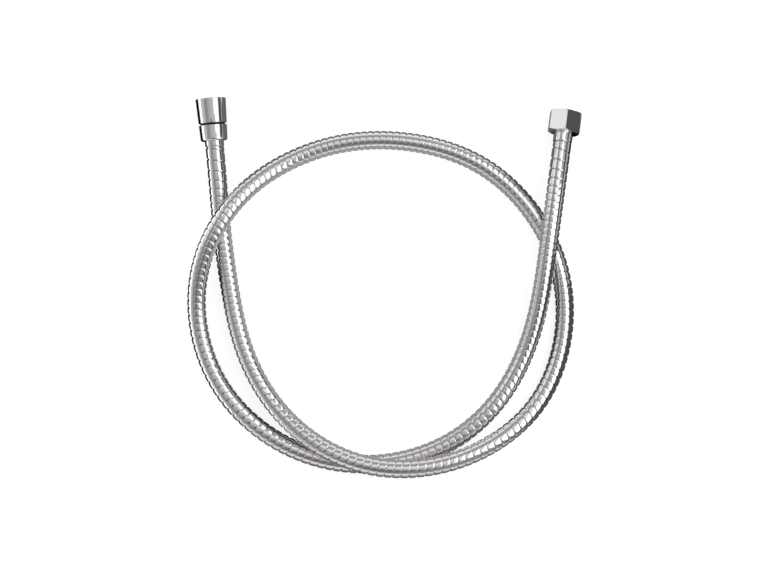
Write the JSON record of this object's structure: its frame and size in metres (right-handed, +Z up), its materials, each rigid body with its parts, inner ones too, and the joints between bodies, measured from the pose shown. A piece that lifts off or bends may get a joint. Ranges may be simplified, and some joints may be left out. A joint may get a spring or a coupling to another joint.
{
  "type": "water supply hose",
  "caption": "Flexible metal water hose lying in loops, with a conical swivel nut on one end and a hex nut on the other.",
  "frame": {"origin": "on the surface the hose lies on, under the plan middle of its two end fittings", "axes": "+Z up from that surface, +Y the way that both fittings point, away from the loops, +X from the conical nut to the hex nut"},
  "size_m": [0.2972, 0.2859, 0.0292],
  "materials": {
    "hose_metal": "polished stainless strip wound in rounded turns",
    "chrome": "bright chrome plate",
    "brass": "as turned",
    "rubber": "matt black",
    "liner": "milky soft tube",
    "bearing_plastic": "off-white, smooth"
  },
  "bodies": {
    "hose": {"metal_hose": "hose_metal", "inner_tube": "liner", "cone_tail": "brass", "front_o_ring": "rubber", "rear_o_ring": "rubber", "slide_ring": "bearing_plastic", "cone_ferrule": "chrome", "hex_tail": "brass", "hex_ferrule": "chrome", "hex_washer": "rubber"},
    "swivel": {"swivel_spigot": "chrome", "swivel_sleeve": "chrome", "cone_washer": "rubber"},
    "cone_nut": {"cone_nut": "chrome"},
    "hex_nut": {"hex_nut": "chrome"}
  },
  "joints": [
    {"name": "swivel_turn", "type": "hinge", "parent": "hose", "child": "swivel", "pos_m": [-0.1343, 0.0211, 0.0114], "axis": [-0.0836, 0.9956, 0.0419], "continuous": true},
    {"name": "cone_nut_spin", "type": "hinge", "parent": "swivel", "child": "cone_nut", "pos_m": [-0.1343, 0.0211, 0.0114], "axis": [-0.0836, 0.9956, 0.0419], "continuous": true},
    {"name": "hex_nut_spin", "type": "hinge", "parent": "hose", "child": "hex_nut", "pos_m": [0.1338, 0.0102, 0.0135], "axis": [0.1399, 0.9826, -0.1219], "continuous": true}
  ]
}
